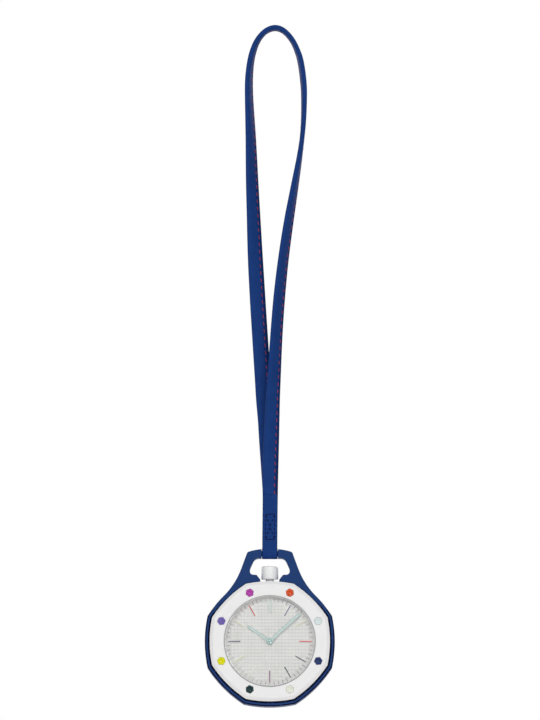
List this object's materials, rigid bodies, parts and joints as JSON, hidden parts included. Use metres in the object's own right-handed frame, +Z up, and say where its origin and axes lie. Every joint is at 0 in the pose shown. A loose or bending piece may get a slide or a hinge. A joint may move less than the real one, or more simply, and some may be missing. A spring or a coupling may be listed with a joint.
{
  "type": "fob watch",
  "caption": "Hand-wound fob watch: an octagonal white head with coloured screws, snapped into a blue clip frame, hung from a twisted stitched leather lanyard loop.",
  "frame": {"origin": "middle of the case back's outer flat face, level with the hands' axis", "axes": "+Z up through the crown and along the lanyard, -Y out of the dial, +X to the right seen from the front"},
  "size_m": [0.0426, 0.0083, 0.2258],
  "materials": {
    "leather": "satin",
    "frame_blue": "satin",
    "case_white": "gloss",
    "screw_orange": "gloss",
    "screw_pale_mint": "gloss",
    "screw_navy": "gloss",
    "screw_cream": "gloss",
    "screw_dark_teal": "gloss",
    "screw_yellow": "gloss",
    "screw_purple": "gloss",
    "screw_magenta": "gloss",
    "crystal": "polished",
    "pale_seal": "matte",
    "seal": "matte",
    "steel": "satin",
    "dial_grey": "fine grid relief",
    "markers": "gloss",
    "hands": "gloss",
    "rhodium": "striped satin",
    "gilt": "polished",
    "blued": "blued",
    "ruby": "polished",
    "holder_ring": "satin"
  },
  "bodies": {
    "lanyard": {"lanyard_strap": "leather"},
    "clip_frame": {"holder_frame": "frame_blue"},
    "head": {"mid_case": "case_white", "bezel": "case_white", "bezel_screw_1": "screw_orange", "bezel_screw_2": "screw_pale_mint", "bezel_screw_3": "screw_navy", "bezel_screw_4": "screw_cream", "bezel_screw_5": "screw_dark_teal", "bezel_screw_6": "screw_yellow", "bezel_screw_7": "screw_purple", "bezel_screw_8": "screw_magenta", "front_crystal": "crystal", "crystal_gasket": "pale_seal", "bezel_gasket": "seal", "case_back": "case_white", "back_crystal": "crystal", "back_gasket": "seal", "crown_tube": "steel", "dial": "dial_grey", "hour_markers": "markers", "main_plate": "rhodium", "barrel_bridge": "rhodium", "train_bridge": "rhodium", "pallet_bridge": "rhodium", "balance_cock": "rhodium", "click_spring": "steel", "hairspring": "blued", "jewels": "ruby", "bridge_screws": "steel", "casing_ring": "holder_ring"},
    "crown_seal": {"crown_gasket": "seal"},
    "winder": {"crown": "case_white", "winding_stem": "steel"},
    "slider": {"sliding_pinion": "steel"},
    "winding_gear": {"winding_pinion": "steel"},
    "crown_gear": {"crown_wheel": "steel"},
    "ratchet": {"ratchet_wheel": "steel", "barrel_arbor": "steel"},
    "click_lever": {"click": "steel"},
    "set_lever": {"setting_lever": "steel"},
    "yoke_lever": {"yoke": "steel"},
    "minute_group": {"minute_hand": "hands", "cannon_pinion": "steel"},
    "minute_gear": {"minute_wheel": "gilt"},
    "hour_group": {"hour_hand": "hands", "hour_wheel": "gilt"},
    "set_gear": {"setting_wheel": "steel"},
    "barrel_drum": {"barrel": "gilt", "mainspring": "steel"},
    "centre_group": {"centre_wheel": "gilt"},
    "third_group": {"third_wheel": "gilt"},
    "fourth_group": {"fourth_wheel": "gilt"},
    "escape_group": {"escape_wheel": "steel"},
    "fork_group": {"pallet_fork": "steel"},
    "balance_group": {"balance_wheel": "gilt"}
  },
  "joints": [
    {"name": "bar_swing", "type": "hinge", "parent": "lanyard", "child": "clip_frame", "pos_m": [0, -0.0042, 0.029], "axis": [1, 0, 0], "range_deg": [-110, 110]},
    {"name": "head_release", "type": "slide", "parent": "clip_frame", "child": "head", "axis": [0, -1, 0], "range_m": [0, 0.012]},
    {"name": "crown_pull", "type": "slide", "parent": "head", "child": "crown_seal", "axis": [0, 0, 1], "range_m": [0, 0.0009]},
    {"name": "crown_turn", "type": "hinge", "parent": "crown_seal", "child": "winder", "pos_m": [0, -0.0032, 0.022], "axis": [0, 0, 1], "continuous": true},
    {"name": "slider_shift", "type": "slide", "parent": "winder", "child": "slider", "axis": [0, 0, 1], "range_m": [-0.0015, 0]},
    {"name": "winding_pinion_turn", "type": "hinge", "parent": "head", "child": "winding_gear", "pos_m": [0, -0.0032, 0.008], "axis": [0, 0, 1], "continuous": true},
    {"name": "crown_wheel_turn", "type": "hinge", "parent": "head", "child": "crown_gear", "pos_m": [0, -0.0013, 0.00454], "axis": [0, 1, 0], "continuous": true},
    {"name": "ratchet_turn", "type": "hinge", "parent": "head", "child": "ratchet", "pos_m": [-0.0067, -0.0013, 0.00244], "axis": [0, 1, 0], "continuous": true},
    {"name": "click_swing", "type": "hinge", "parent": "head", "child": "click_lever", "pos_m": [-0.00555, -0.0013, 0.00795], "axis": [0, 1, 0], "range_deg": [-6, 0], "stiffness_Nm_per_rad": 0.00002},
    {"name": "set_lever_swing", "type": "hinge", "parent": "head", "child": "set_lever", "pos_m": [0.0031, -0.0045, 0.00955], "axis": [0, 1, 0], "range_deg": [0, 17.6]},
    {"name": "yoke_swing", "type": "hinge", "parent": "head", "child": "yoke_lever", "pos_m": [-0.0037, -0.0048, 0.0064], "axis": [0, 1, 0], "range_deg": [0, 9.4]},
    {"name": "minute_turn", "type": "hinge", "parent": "head", "child": "minute_group", "pos_m": [0, -0.006, 0], "axis": [0, 1, 0], "continuous": true},
    {"name": "minute_wheel_turn", "type": "hinge", "parent": "head", "child": "minute_gear", "pos_m": [0.00183, -0.0053, 0.00222], "axis": [0, 1, 0], "continuous": true},
    {"name": "hour_turn", "type": "hinge", "parent": "head", "child": "hour_group", "pos_m": [0, -0.0057, 0], "axis": [0, 1, 0], "continuous": true},
    {"name": "setting_wheel_turn", "type": "hinge", "parent": "head", "child": "set_gear", "pos_m": [0, -0.005, 0.0046], "axis": [0, 1, 0], "continuous": true},
    {"name": "fourth_turn", "type": "hinge", "parent": "head", "child": "fourth_group", "pos_m": [0.00545, -0.003, -0.00275], "axis": [0, 1, 0], "continuous": true},
    {"name": "third_turn", "type": "hinge", "parent": "head", "child": "third_group", "pos_m": [0.00225, -0.003, -0.0039], "axis": [0, 1, 0], "continuous": true},
    {"name": "centre_turn", "type": "hinge", "parent": "head", "child": "centre_group", "pos_m": [0, -0.0035, 0], "axis": [0, 1, 0], "continuous": true},
    {"name": "barrel_turn", "type": "hinge", "parent": "head", "child": "barrel_drum", "pos_m": [-0.0067, -0.003, 0.00244], "axis": [0, 1, 0], "continuous": true},
    {"name": "escape_turn", "type": "hinge", "parent": "head", "child": "escape_group", "pos_m": [0.00793, -0.0035, -0.00057], "axis": [0, 1, 0], "continuous": true},
    {"name": "fork_swing", "type": "hinge", "parent": "head", "child": "fork_group", "pos_m": [0.00743, -0.0035, 0.00156], "axis": [0, 1, 0], "range_deg": [-2, 2]},
    {"name": "balance_swing", "type": "hinge", "parent": "head", "child": "balance_group", "pos_m": [0.00676, -0.0028, 0.00438], "axis": [0, 1, 0], "range_deg": [-270, 270], "stiffness_Nm_per_rad": 0.00000014}
  ],
  "couplings": [
    {"joint": "slider_shift", "follows": "crown_pull", "ratio": -1.6667},
    {"joint": "set_lever_swing", "follows": "crown_pull", "rad_per_m": 338.89},
    {"joint": "yoke_swing", "follows": "crown_pull", "rad_per_m": 180.18},
    {"joint": "winding_pinion_turn", "follows": "crown_turn", "ratio": 1},
    {"joint": "crown_wheel_turn", "follows": "crown_turn", "ratio": -0.56667},
    {"joint": "ratchet_turn", "follows": "crown_turn", "ratio": 0.35417},
    {"joint": "minute_wheel_turn", "follows": "minute_turn", "ratio": -0.33333},
    {"joint": "hour_turn", "follows": "minute_turn", "ratio": 0.083333},
    {"joint": "setting_wheel_turn", "follows": "minute_turn", "ratio": 0.85714},
    {"joint": "third_turn", "follows": "fourth_turn", "ratio": -0.13333},
    {"joint": "centre_turn", "follows": "fourth_turn", "ratio": 0.016667},
    {"joint": "barrel_turn", "follows": "fourth_turn", "ratio": -0.0027778},
    {"joint": "escape_turn", "follows": "fourth_turn", "ratio": -10}
  ]
}
